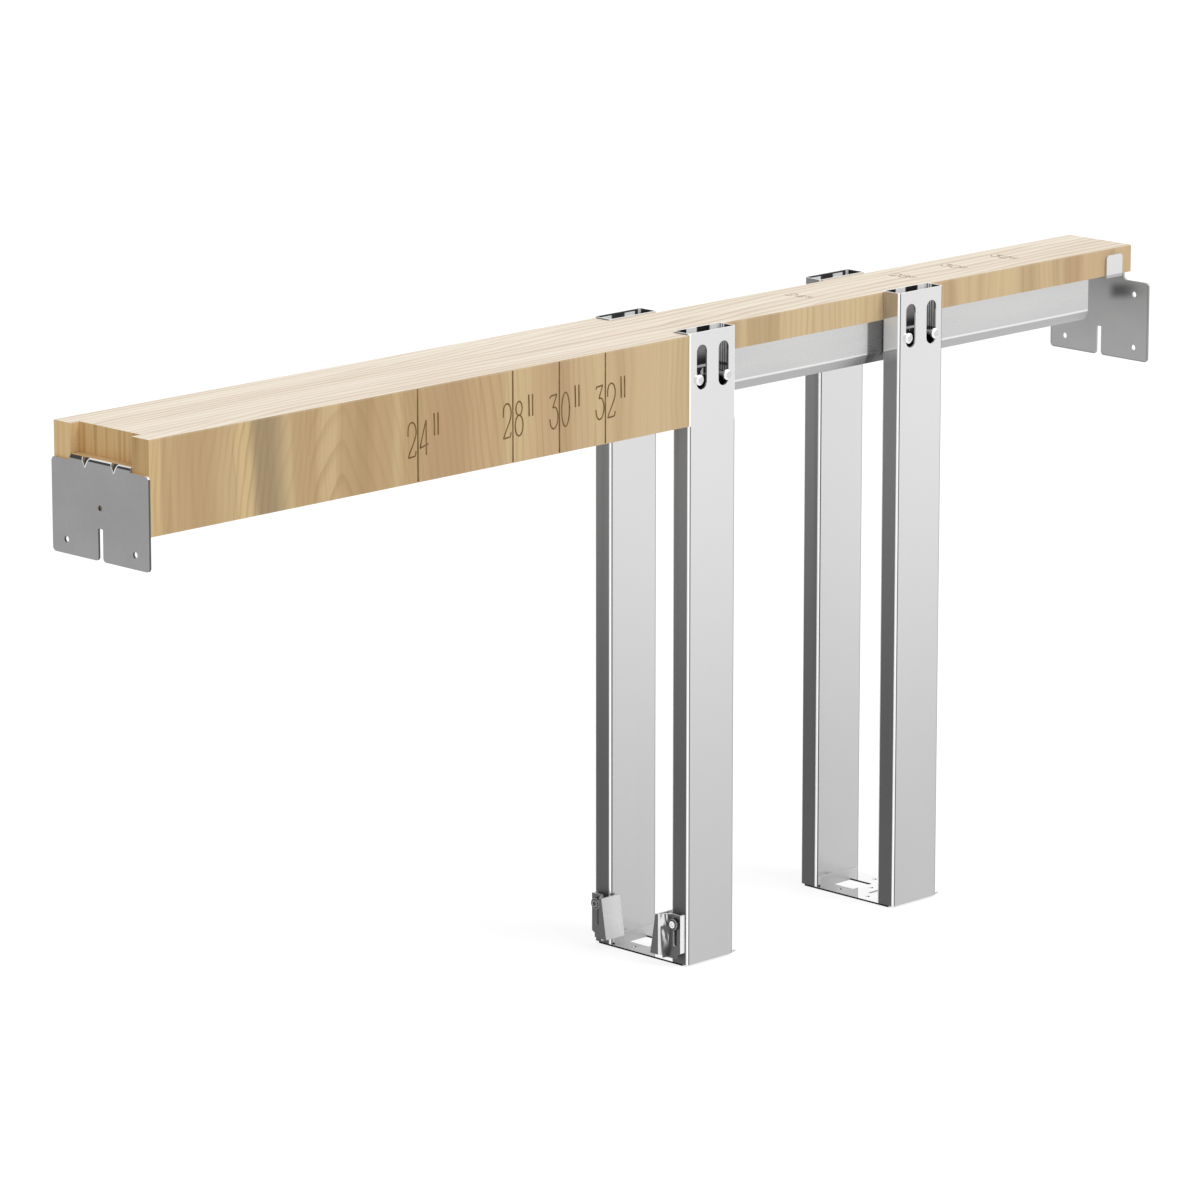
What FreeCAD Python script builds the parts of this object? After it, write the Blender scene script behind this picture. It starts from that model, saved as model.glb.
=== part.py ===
import FreeCAD, Part
import os
import Sketcher

# Pocket door frame for a 2x4 stud wall: a timber header with a track under it, carried by two
# pairs of split steel studs with a pocket for the door between them.
# Frame: origin on the floor under the middle of the header; X runs along the header from the
# doorway end to the pocket end, Y across the wall (front is -Y), Z up. Millimetres.

doc = FreeCAD.newDocument("pocket_door_frame")
dims = doc.addObject("Spreadsheet::Sheet", "dims")

# Overall sizes, then the sizes of each piece.
SIZES = [
    ("wall_depth", 88.9, "front face to rear face, the depth of a 2x4 wall"),
    ("header_length", 941.9, "nailers' free end to the board's pocket end"),
    ("header_top", 434.4, "height of the header's top above the floor"),
    ("side_depth", 15.6, "depth of a nailer and of a split stud"),
    ("board_setback", 7.6, "board's doorway end, back from the nailers' ends"),
    ("board_height", 19.2, ""),
    ("nailer_height", 61.3, ""),
    ("doorway_length", 475.3, "nailers' free end to the first pair of studs"),
    ("pocket_stud_start", 680.9, "nailers' free end to the second pair of studs"),
    ("stud_width", 44.6, ""),
    ("stud_wall", 1.2, ""),
    ("stud_corner", 2.0, ""),
    ("stud_rise", 1.0, "studs stand this much above the header's top"),
    ("slot_spread", 10.4, "stud centre to the centre of each slot"),
    ("slot_radius", 4.8, ""),
    ("slot_top", 8.6, "down from the top of the stud"),
    ("slot_length", 30.3, ""),
    ("screw_spread", 13.3, "stud centre to each screw"),
    ("screw_drop", 31.0, "header's top to the screws"),
    ("screw_shank", 1.6, "radius"),
    ("screw_head", 3.6, "radius"),
    ("screw_head_height", 2.2, ""),
    ("screw_length", 19.2, ""),
    ("screw_crown", 1.2, "run of the sloping rim of a plain head"),
    ("screw_rim", 1.0, "height of the sloping rim"),
    ("screw_point_run", 0.8, ""),
    ("screw_point", 1.2, "length of the taper at the end"),
    ("screw_clearance", 0.3, "radial, in the holes that a screw passes"),
    ("track_left_gap", 2.0, "flange of the doorway end bracket to the track"),
    ("track_right_gap", 15.8, "track to the flange of the pocket end bracket"),
    ("track_wall", 1.8, ""),
    ("track_side", 22.0, "height of the upright side"),
    ("track_lip", 6.9, "drop of the sloping lip"),
    ("track_lip_inset", 2.8, "run of the sloping lip towards the middle"),
    ("track_slot", 10.0, "half width of the slot along the underside"),
    ("track_lip_step", 1.1, "lip's inner corner, in from its outer one"),
    ("track_fold_step", 0.3, "fold's inner corner, up from its outer one"),
    ("bracket_sheet", 1.5, ""),
    ("bracket_width", 91.0, ""),
    ("bracket_drop", 83.2, "header's top to the lower edge of the brackets"),
    ("left_wing_drop", 22.8, "header's top to the wings of the bracket"),
    ("right_wing_drop", 26.0, "header's top to the wings of the bracket"),
    ("bracket_corner", 3.0, ""),
    ("bend_radius", 3.0, "outer radius of the fold under the board"),
    ("left_flange", 28.0, "reach of the flange under the board"),
    ("flange_gap", 0.5, "flange side to nailer"),
    ("right_flange", 30.0, ""),
    ("neck_half", 22.2, "half width of the neck of the pocket end bracket"),
    ("neck_radius", 3.4, ""),
    ("tab_start", 10.9, "from the pocket end to the upturned tabs"),
    ("tab_width", 17.0, ""),
    ("tab_height", 14.8, "above the board's underside"),
    ("nail_hole", 2.1, "radius"),
    ("middle_hole", 1.85, "radius"),
    ("nail_spread", 32.3, ""),
    ("nail_low_drop", 74.0, "header's top to the nail holes"),
    ("nail_mid_drop", 49.4, ""),
    ("nail_high_drop", 35.6, ""),
    ("key_slot_half", 2.2, ""),
    ("key_slot_mouth", 2.6, "radius of the corners where the slot opens"),
    ("key_slot_drop", 62.6, "header's top to the top of the key slot"),
    ("plate_sheet", 1.2, ""),
    ("plate_length", 51.5, ""),
    ("plate_half", 40.0, ""),
    ("plate_window_start", 14.6, ""),
    ("plate_window_length", 19.2, ""),
    ("plate_window_near", 6.9, "from the middle plane"),
    ("plate_window_edge", 0.2, "window to the upstand"),
    ("plate_upstand", 8.0, ""),
    ("plate_upstand_start", 3.0, "from the plate's doorway edge"),
    ("plate_upstand_length", 38.0, ""),
    ("plate_hole", 1.5, "radius"),
    ("plate_hole_edge", 7.5, ""),
    ("plate_hole_spread", 13.5, ""),
    ("guide_sheet", 1.5, ""),
    ("guide_standoff", 3.2, "stud face to the guide's web"),
    ("guide_bottom", 5.4, ""),
    ("guide_height", 31.0, ""),
    ("guide_edge", 2.4, "stud's outer face to the guide's return flange"),
    ("guide_web_top", 11.2, "stud's outer face to the inner edge of the web at its top"),
    ("guide_web_bottom", 14.5, ""),
    ("guide_nose", 12.1, "stud face to the guide's nose"),
    ("guide_nose_start", 16.1, "stud's outer face to the nose's outer edge"),
    ("guide_pad_reach", 5.7, "stud face to the far end of the pad"),
    ("guide_pad_top", 18.7, "stud's outer face to the pad's top edge"),
    ("guide_pad_bottom", 23.9, ""),
    ("guide_pad_rise", 2.7, "web's lower edge to the lower edge of the nose and the pad"),
    ("guide_miter", 0.825, "inner corner of a slanting fold, along the wall's depth"),
    ("guide_gap", 0.2, "guide to stud, and guide to bolt head"),
    ("guide_notch", 2.6, ""),
    ("guide_notch_height", 4.4, ""),
    ("guide_notch_slope", 1.5, "height of the notch's slanting top"),
    ("bolt_inset", 7.5, "stud's outer face to the bolt"),
    ("bolt_height", 29.9, ""),
    ("bolt_shank", 1.5, "radius"),
    ("bolt_head", 4.2, "radius"),
    ("bolt_head_height", 2.6, ""),
    ("bolt_length", 10.0, ""),
    ("bolt_socket", 1.7, "radius"),
    ("bolt_socket_depth", 1.6, ""),
    ("guide_slot_half", 1.85, ""),
    ("guide_travel", 14.0, ""),
]
for line, (alias, value, note) in enumerate(SIZES, start=1):
    dims.set("A%d" % line, alias)
    dims.set("B%d" % line, str(value))
    dims.setAlias("B%d" % line, alias)
    dims.set("C%d" % line, note)
doc.recompute()


class Size:
    """A length known both as a number and as an expression on the sheet."""

    def __init__(self, value, text=None):
        self.value = float(value)
        self.text = text if text is not None else repr(float(value))

    def _join(self, other, sign, turn=False):
        if not isinstance(other, Size):
            other = Size(other)
        one, two = (other, self) if turn else (self, other)
        value = {
            "+": one.value + two.value,
            "-": one.value - two.value,
            "*": one.value * two.value,
        }[sign]
        return Size(value, "(%s %s %s)" % (one.text, sign, two.text))

    def __add__(self, other):
        return self._join(other, "+")

    def __radd__(self, other):
        return self._join(other, "+", True)

    def __sub__(self, other):
        return self._join(other, "-")

    def __rsub__(self, other):
        return self._join(other, "-", True)

    def __mul__(self, other):
        return self._join(other, "*")

    def __rmul__(self, other):
        return self._join(other, "*", True)

    def __neg__(self):
        return 0 - self


S = {alias: Size(value, "dims." + alias) for alias, value, note in SIZES}


def as_size(value):
    """Gives a Size for a Size or a plain number."""
    return value if isinstance(value, Size) else Size(value)


def bind(thing, name, size):
    """Binds a property of an object to its expression on the sheet."""
    thing.setExpression(name, as_size(size).text)


def block(label, corner, lengths):
    """A rectangular board with its low corner and its lengths bound to the sheet."""
    box = doc.addObject("Part::Box", label)
    box.Label = label
    for name, size in zip(("Length", "Width", "Height"), lengths):
        bind(box, name, size)
    for name, size in zip("xyz", corner):
        bind(box, "Placement.Base." + name, size)
    return box


def new_body(label):
    """An empty body that will become one piece."""
    body = doc.addObject("PartDesign::Body", label)
    body.Label = label
    return body


def new_sketch(body, name, plane, offset=0):
    """A sketch on one of the body's own planes, moved along that plane's normal."""
    sketch = body.newObject("Sketcher::SketchObject", name)
    role = plane + "_Plane"
    base = [item for item in body.Origin.OriginFeatures if item.Role == role][0]
    sketch.AttachmentSupport = (base, [""])
    sketch.MapMode = "FlatFace"
    bind(sketch, "AttachmentOffset.Base.z", offset)
    return sketch


def pin(sketch, geometry, point, place):
    """Holds one point of a sketch at its distances from the sketch's origin."""
    for kind, size in zip(("DistanceX", "DistanceY"), place):
        size = as_size(size)
        index = sketch.addConstraint(
            Sketcher.Constraint(kind, -1, 1, geometry, point, size.value)
        )
        sketch.setExpression("Constraints[%d]" % index, size.text)


def polygon(sketch, points):
    """A closed outline through the points, each pinned."""
    places = [(as_size(a), as_size(b)) for a, b in points]
    vectors = [FreeCAD.Vector(a.value, b.value, 0) for a, b in places]
    first = None
    for number, start in enumerate(vectors):
        end = vectors[(number + 1) % len(vectors)]
        index = sketch.addGeometry(Part.LineSegment(start, end), False)
        if first is None:
            first = index
    for number, place in enumerate(places):
        here = first + number
        before = first + (number - 1) % len(places)
        sketch.addConstraint(Sketcher.Constraint("Coincident", before, 2, here, 1))
        pin(sketch, here, 1, place)


def rectangle(sketch, low, high):
    """A rectangle from its low corner to its high corner."""
    polygon(sketch, [low, (high[0], low[1]), high, (low[0], high[1])])


def circle(sketch, centre, radius):
    """A circle with its centre pinned."""
    radius = as_size(radius)
    x, y = as_size(centre[0]), as_size(centre[1])
    shape = Part.Circle(FreeCAD.Vector(x.value, y.value, 0), FreeCAD.Vector(0, 0, 1), radius.value)
    index = sketch.addGeometry(shape, False)
    pin(sketch, index, 3, (x, y))
    rule = sketch.addConstraint(Sketcher.Constraint("Radius", index, radius.value))
    sketch.setExpression("Constraints[%d]" % rule, radius.text)


def obround(sketch, middle, low, high, radius):
    """An upright slot with round ends; low and high are the ends' arc centres."""
    x, low, high, radius = as_size(middle), as_size(low), as_size(high), as_size(radius)
    across = FreeCAD.Vector(0, 0, 1)
    pi = 3.141592653589793

    def arc(height, start, end):
        ring = Part.Circle(FreeCAD.Vector(x.value, height.value, 0), across, radius.value)
        return sketch.addGeometry(Part.ArcOfCircle(ring, start, end), False)

    top = arc(high, 0, pi)
    bottom = arc(low, pi, 2 * pi)
    left, right = x.value - radius.value, x.value + radius.value
    down = sketch.addGeometry(
        Part.LineSegment(
            FreeCAD.Vector(left, high.value, 0), FreeCAD.Vector(left, low.value, 0)
        ),
        False,
    )
    rise = sketch.addGeometry(
        Part.LineSegment(
            FreeCAD.Vector(right, low.value, 0), FreeCAD.Vector(right, high.value, 0)
        ),
        False,
    )
    sketch.addConstraint(Sketcher.Constraint("Tangent", top, 2, down, 1))
    sketch.addConstraint(Sketcher.Constraint("Tangent", down, 2, bottom, 1))
    sketch.addConstraint(Sketcher.Constraint("Tangent", bottom, 2, rise, 1))
    sketch.addConstraint(Sketcher.Constraint("Tangent", rise, 2, top, 1))
    pin(sketch, top, 3, (x, high))
    pin(sketch, bottom, 3, (x, low))
    rule = sketch.addConstraint(Sketcher.Constraint("Radius", top, radius.value))
    sketch.setExpression("Constraints[%d]" % rule, radius.text)


def pad(body, sketch, length, back=False):
    """Pads a sketch along its normal, or the other way."""
    feature = body.newObject("PartDesign::Pad", sketch.Name + "_pad")
    feature.Profile = sketch
    bind(feature, "Length", length)
    feature.Reversed = back
    return feature


def pocket(body, sketch, length=None, back=False):
    """Cuts a sketch against its normal, to a depth or right through, and checks that it cut."""
    doc.recompute()
    before = body.Shape.Volume
    feature = body.newObject("PartDesign::Pocket", sketch.Name + "_pocket")
    feature.Profile = sketch
    if length is None:
        feature.Type = 1
    else:
        bind(feature, "Length", length)
    feature.Reversed = back
    doc.recompute()
    if body.Shape.Volume >= before - 0.01:
        raise RuntimeError(sketch.Name + " cuts nothing")
    return feature


def fillet(body, name, base, edges, radius):
    """Rounds the edges that the test picks."""
    doc.recompute()
    picked = [
        "Edge%d" % (number + 1)
        for number, edge in enumerate(base.Shape.Edges)
        if len(edge.Vertexes) == 2 and edges(edge)
    ]
    if not picked:
        raise RuntimeError(name + " finds no edge")
    feature = body.newObject("PartDesign::Fillet", name)
    feature.Base = (base, picked)
    bind(feature, "Radius", radius)
    return feature


def along(edge, axis):
    """True for a straight edge that runs along the axis."""
    one, two = edge.Vertexes[0].Point, edge.Vertexes[1].Point
    step = two - one
    return step.Length > 0.01 and abs(abs(step.dot(axis)) - step.Length) < 1e-4


X = FreeCAD.Vector(1, 0, 0)
Y = FreeCAD.Vector(0, 1, 0)
Z = FreeCAD.Vector(0, 0, 1)

left_end = -0.5 * S["header_length"]
right_end = 0.5 * S["header_length"]
front = -0.5 * S["wall_depth"]
inner = 0.5 * S["wall_depth"] - S["side_depth"]
top = S["header_top"]
underside = top - S["board_height"]
pieces = []

# Header: a board lying flat, with a nailer on edge along each side of its doorway half. The
# nailers butt against the first pair of studs.
pieces.append(
    block(
        "header_board",
        (left_end + S["board_setback"], -inner, underside),
        (S["header_length"] - S["board_setback"], 2 * inner, S["board_height"]),
    )
)
pieces.append(
    block(
        "front_nailer",
        (left_end, front, top - S["nailer_height"]),
        (S["doorway_length"], S["side_depth"], S["nailer_height"]),
    )
)
pieces.append(
    block(
        "rear_nailer",
        (left_end, inner, top - S["nailer_height"]),
        (S["doorway_length"], S["side_depth"], S["nailer_height"]),
    )
)

# Track: an extruded aluminium channel under the board, its sides flush with the board's, with
# sloping lips and two inward rails that leave a slot along the underside for the hangers.
track = new_body("door_track")
track_start = left_end + S["left_flange"] + S["track_left_gap"]
track_end = right_end - S["right_flange"] - S["track_right_gap"]
profile = new_sketch(track, "track_profile", "YZ", track_start)
wall = S["track_wall"]
side_bottom = underside - S["track_side"]
lip_bottom = side_bottom - S["track_lip"]
lip_half = inner - S["track_lip_inset"]
half_outline = [
    (inner, underside),
    (inner, side_bottom),
    (lip_half, lip_bottom),
    (S["track_slot"], lip_bottom),
    (S["track_slot"], lip_bottom + wall),
    (lip_half - S["track_lip_step"], lip_bottom + wall),
    (inner - wall, side_bottom + S["track_fold_step"]),
    (inner - wall, underside - wall),
]
mirrored = [(-across, height) for across, height in reversed(half_outline)]
polygon(profile, half_outline + mirrored)
pad(track, profile, track_end - track_start)
for stud_number, stud_start in enumerate(("doorway_length", "pocket_stud_start")):
    holes = new_sketch(track, "track_holes_%d" % (stud_number + 1), "XZ")
    middle = left_end + S[stud_start] + 0.5 * S["stud_width"]
    for side in (-1, 1):
        circle(
            holes,
            (middle + side * S["screw_spread"], top - S["screw_drop"]),
            S["screw_shank"] + S["screw_clearance"],
        )
    cut = pocket(track, holes)
    cut.Midplane = True
pieces.append(track)


# End brackets: pressed steel plates across the header's ends, folded under the board.
bracket_bottom = top - S["bracket_drop"]
left_wing = top - S["left_wing_drop"]
right_wing = top - S["right_wing_drop"]
nail_low = top - S["nail_low_drop"]
nail_mid = top - S["nail_mid_drop"]
nail_high = top - S["nail_high_drop"]


def bracket_holes(body, name, plane_x, spots):
    """Nail holes and the slot up from the lower edge, cut through the plate only."""
    face = new_sketch(body, name + "_holes", "YZ", plane_x)
    for across, height, radius in spots:
        circle(face, (across, height), radius)
    rectangle(
        face,
        (-S["key_slot_half"], bracket_bottom - 1),
        (S["key_slot_half"], top - S["key_slot_drop"]),
    )
    cut = pocket(body, face, 2 * S["bracket_sheet"], back=True)
    fillet(
        body,
        name + "_slot_mouth",
        cut,
        lambda edge: along(edge, X)
        and edge.Length < 2
        and abs(abs(edge.Vertexes[0].Y) - S["key_slot_half"].value) < 0.01
        and abs(edge.Vertexes[0].Z - bracket_bottom.value) < 0.01,
        S["key_slot_mouth"],
    )


half_width = 0.5 * S["bracket_width"]
sheet = S["bracket_sheet"]

left = new_body("left_end_bracket")
flange_half = inner - S["flange_gap"]
plate_sketch = new_sketch(left, "left_plate", "YZ", left_end - sheet)
polygon(
    plate_sketch,
    [
        (-half_width, bracket_bottom),
        (half_width, bracket_bottom),
        (half_width, left_wing),
        (flange_half, left_wing),
        (flange_half, underside),
        (-flange_half, underside),
        (-flange_half, left_wing),
        (-half_width, left_wing),
    ],
)
pad(left, plate_sketch, sheet)
flange_sketch = new_sketch(left, "left_flange_outline", "XY", underside - sheet)
rectangle(
    flange_sketch,
    (left_end - sheet, -flange_half),
    (left_end + S["left_flange"], flange_half),
)
flange = pad(left, flange_sketch, sheet)
bend = fillet(
    left,
    "left_bend_outer",
    flange,
    lambda edge: along(edge, Y)
    and abs(edge.Vertexes[0].X - (left_end - sheet).value) < 0.01
    and abs(edge.Vertexes[0].Z - underside.value) < 0.01,
    S["bend_radius"],
)
bend = fillet(
    left,
    "left_bend_inner",
    bend,
    lambda edge: along(edge, Y)
    and abs(edge.Vertexes[0].X - left_end.value) < 0.01
    and abs(edge.Vertexes[0].Z - (underside - sheet).value) < 0.01,
    S["bend_radius"] - sheet,
)
fillet(
    left,
    "left_corners",
    bend,
    lambda edge: along(edge, X)
    and edge.Length < 2
    and abs(abs(edge.Vertexes[0].Y) - half_width.value) < 0.01,
    S["bracket_corner"],
)
bracket_holes(
    left,
    "left",
    left_end - 1.5 * sheet,
    [
        (-S["nail_spread"], nail_low, S["nail_hole"]),
        (S["nail_spread"], nail_low, S["nail_hole"]),
        (0, nail_mid, S["middle_hole"]),
    ],
)
pieces.append(left)

right = new_body("right_end_bracket")
plate_sketch = new_sketch(right, "right_plate", "YZ", right_end)
neck = S["neck_half"]
polygon(
    plate_sketch,
    [
        (-half_width, bracket_bottom),
        (half_width, bracket_bottom),
        (half_width, right_wing),
        (neck, right_wing),
        (neck, underside),
        (-neck, underside),
        (-neck, right_wing),
        (-half_width, right_wing),
    ],
)
pad(right, plate_sketch, sheet)
tab_outer = inner + sheet
tab_high = right_end - S["tab_start"]
tab_low = tab_high - S["tab_width"]
flange_sketch = new_sketch(right, "right_flange_outline", "XY", underside - sheet)
polygon(
    flange_sketch,
    [
        (right_end - S["right_flange"], -neck),
        (tab_low, -neck),
        (tab_low, -tab_outer),
        (tab_high, -tab_outer),
        (tab_high, -neck),
        (right_end + sheet, -neck),
        (right_end + sheet, neck),
        (tab_high, neck),
        (tab_high, tab_outer),
        (tab_low, tab_outer),
        (tab_low, neck),
        (right_end - S["right_flange"], neck),
    ],
)
pad(right, flange_sketch, sheet)
tab_sketch = new_sketch(right, "right_tabs", "XY", underside)
for side in (-1, 1):
    low, high = (-tab_outer, -inner) if side < 0 else (inner, tab_outer)
    rectangle(tab_sketch, (tab_low, low), (tab_high, high))
tabs = pad(right, tab_sketch, S["tab_height"])
tab_tops = fillet(
    right,
    "right_tab_tops",
    tabs,
    lambda edge: along(edge, Y)
    and edge.Length < 2
    and abs(edge.Vertexes[0].Z - (underside + S["tab_height"]).value) < 0.01,
    S["bracket_corner"],
)
bend = fillet(
    right,
    "right_bend_outer",
    tab_tops,
    lambda edge: along(edge, Y)
    and abs(edge.Vertexes[0].X - (right_end + sheet).value) < 0.01
    and abs(edge.Vertexes[0].Z - underside.value) < 0.01,
    S["bend_radius"],
)
bend = fillet(
    right,
    "right_bend_inner",
    bend,
    lambda edge: along(edge, Y)
    and abs(edge.Vertexes[0].X - right_end.value) < 0.01
    and abs(edge.Vertexes[0].Z - (underside - sheet).value) < 0.01,
    S["bend_radius"] - sheet,
)
necks = fillet(
    right,
    "right_neck",
    bend,
    lambda edge: along(edge, X)
    and edge.Length < 2
    and abs(abs(edge.Vertexes[0].Y) - neck.value) < 0.01
    and abs(edge.Vertexes[0].Z - right_wing.value) < 0.01,
    S["neck_radius"],
)
fillet(
    right,
    "right_corners",
    necks,
    lambda edge: along(edge, X)
    and edge.Length < 2
    and abs(abs(edge.Vertexes[0].Y) - half_width.value) < 0.01,
    S["bracket_corner"],
)
bracket_holes(
    right,
    "right",
    right_end - 0.5 * sheet,
    [
        (-S["nail_spread"], nail_low, S["nail_hole"]),
        (S["nail_spread"], nail_low, S["nail_hole"]),
        (-S["nail_spread"], nail_high, S["nail_hole"]),
        (S["nail_spread"], nail_high, S["nail_hole"]),
    ],
)
pieces.append(right)


# Split studs: roll-formed closed steel profiles, open at the top, with two slots in the outer
# face through which the screws into the track are driven.
def stud(label, start, rear, guide):
    """A stud about its own middle, foot at zero, then placed; a rear one is turned about Z."""
    body = new_body(label)
    half_x, half_y = 0.5 * S["stud_width"], 0.5 * S["side_depth"]
    thick = S["stud_wall"]
    length = top + S["stud_rise"] - S["plate_sheet"]
    section = new_sketch(body, label + "_section", "XY")
    rectangle(section, (-half_x, -half_y), (half_x, half_y))
    rectangle(section, (thick - half_x, thick - half_y), (half_x - thick, half_y - thick))
    tube = pad(body, section, length)

    def outer(edge):
        return along(edge, Z) and abs(abs(edge.Vertexes[0].X) - half_x.value) < 0.01

    def inside(edge):
        return along(edge, Z) and abs(abs(edge.Vertexes[0].X) - (half_x - thick).value) < 0.01

    tube = fillet(body, label + "_outer_corners", tube, outer, S["stud_corner"])
    tube = fillet(body, label + "_inner_corners", tube, inside, S["stud_corner"] - thick)
    slots = new_sketch(body, label + "_slots", "XZ", half_y)
    high = length - S["slot_top"] - S["slot_radius"]
    low = length - S["slot_top"] - S["slot_length"] + S["slot_radius"]
    for side in (-1, 1):
        obround(slots, side * S["slot_spread"], low, high, S["slot_radius"])
    pocket(body, slots, 2 * thick)
    holes = new_sketch(body, label + "_screw_holes", "XZ")
    for side in (-1, 1):
        circle(
            holes,
            (side * S["screw_spread"], top - S["screw_drop"] - S["plate_sheet"]),
            S["screw_shank"] + S["screw_clearance"],
        )
    pocket(body, holes)
    if guide:
        # The bolt of the door guide goes into the stud's narrow face on the doorway side.
        bore = new_sketch(body, label + "_bolt_hole", "YZ")
        middle = S["bolt_inset"] - half_y
        circle(
            bore,
            (middle, S["bolt_height"] - S["plate_sheet"]),
            S["bolt_shank"] + S["screw_clearance"],
        )
        # A turned stud has its doorway side at plus X.
        pocket(body, bore, back=rear)
    turn = 180 if rear else 0
    body.Placement = FreeCAD.Placement(FreeCAD.Vector(0, 0, 0), FreeCAD.Rotation(Z, turn))
    bind(body, "Placement.Base.x", left_end + S[start] + half_x)
    bind(body, "Placement.Base.y", (inner + half_y) * (1 if rear else -1))
    bind(body, "Placement.Base.z", S["plate_sheet"])
    pieces.append(body)


stud("opening_stud_front", "doorway_length", False, True)
stud("opening_stud_rear", "doorway_length", True, True)
stud("pocket_stud_front", "pocket_stud_start", False, False)
stud("pocket_stud_rear", "pocket_stud_start", True, False)


# Stud screws: pan heads that stand on the studs' outer faces, shanks through the slots.
def headed(label, head, head_height, shank, length, socket, depth):
    """A round head above zero and a shank below it, turned about Z; a socket if it has one."""
    body = new_body(label)
    outline = new_sketch(body, label + "_half", "XZ")
    if socket is None:
        crown = [(head - S["screw_crown"], head_height), (0, head_height)]
    else:
        crown = [
            (head - S["screw_rim"], head_height),
            (socket, head_height),
            (socket, head_height - depth),
            (0, head_height - depth),
        ]
    polygon(
        outline,
        [
            (0, -length),
            (shank - S["screw_point_run"], -length),
            (shank, -length + S["screw_point"]),
            (shank, 0),
            (head, 0),
            (head, head_height - S["screw_rim"]),
        ]
        + crown,
    )
    turned = body.newObject("PartDesign::Revolution", label + "_turned")
    turned.Profile = outline
    turned.ReferenceAxis = (outline, ["V_Axis"])
    turned.Angle = 360
    return body


for pair, start in (("opening", "doorway_length"), ("pocket", "pocket_stud_start")):
    for place, rear in (("front", False), ("rear", True)):
        for number, side in ((1, -1), (2, 1)):
            screw = headed(
                "%s_%s_screw_%d" % (pair, place, number),
                S["screw_head"],
                S["screw_head_height"],
                S["screw_shank"],
                S["screw_length"],
                None,
                None,
            )
            screw.Placement = FreeCAD.Placement(
                FreeCAD.Vector(0, 0, 0), FreeCAD.Rotation(X, -90 if rear else 90)
            )
            middle = left_end + S[start] + 0.5 * S["stud_width"]
            bind(screw, "Placement.Base.x", middle + side * S["screw_spread"])
            bind(screw, "Placement.Base.y", -front if rear else front)
            bind(screw, "Placement.Base.z", top - S["screw_drop"])
            pieces.append(screw)


# Base plates: pressed steel, fixed to the floor under each pair of studs, with a low upstand
# against the inner face of each stud.
def base_plate(label, start):
    """A plate drawn from its doorway edge, then placed."""
    body = new_body(label)
    outline = new_sketch(body, label + "_outline", "XY")
    rectangle(outline, (0, -S["plate_half"]), (S["plate_length"], S["plate_half"]))
    window_end = S["plate_window_start"] + S["plate_window_length"]
    near = S["plate_window_near"]
    far = inner - S["plate_sheet"] - S["plate_window_edge"]
    rectangle(outline, (S["plate_window_start"], near), (window_end, far))
    rectangle(outline, (S["plate_window_start"], -far), (window_end, -near))
    edge, spread = S["plate_hole_edge"], S["plate_hole_spread"]
    for across in (edge, S["plate_length"] - edge):
        for side in (-1, 1):
            circle(outline, (across, side * spread), S["plate_hole"])
    circle(outline, (0.5 * S["plate_length"], 0), S["plate_hole"])
    pad(body, outline, S["plate_sheet"])
    rise = new_sketch(body, label + "_upstands", "XY")
    thick = S["plate_sheet"]
    rise_start = S["plate_upstand_start"]
    rise_end = rise_start + S["plate_upstand_length"]
    rectangle(rise, (rise_start, inner - thick), (rise_end, inner))
    rectangle(rise, (rise_start, -inner), (rise_end, thick - inner))
    pad(body, rise, S["plate_upstand"])
    bind(body, "Placement.Base.x", left_end + S[start])
    pieces.append(body)


base_plate("opening_base_plate", "doorway_length")
base_plate("pocket_base_plate", "pocket_stud_start")


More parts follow.
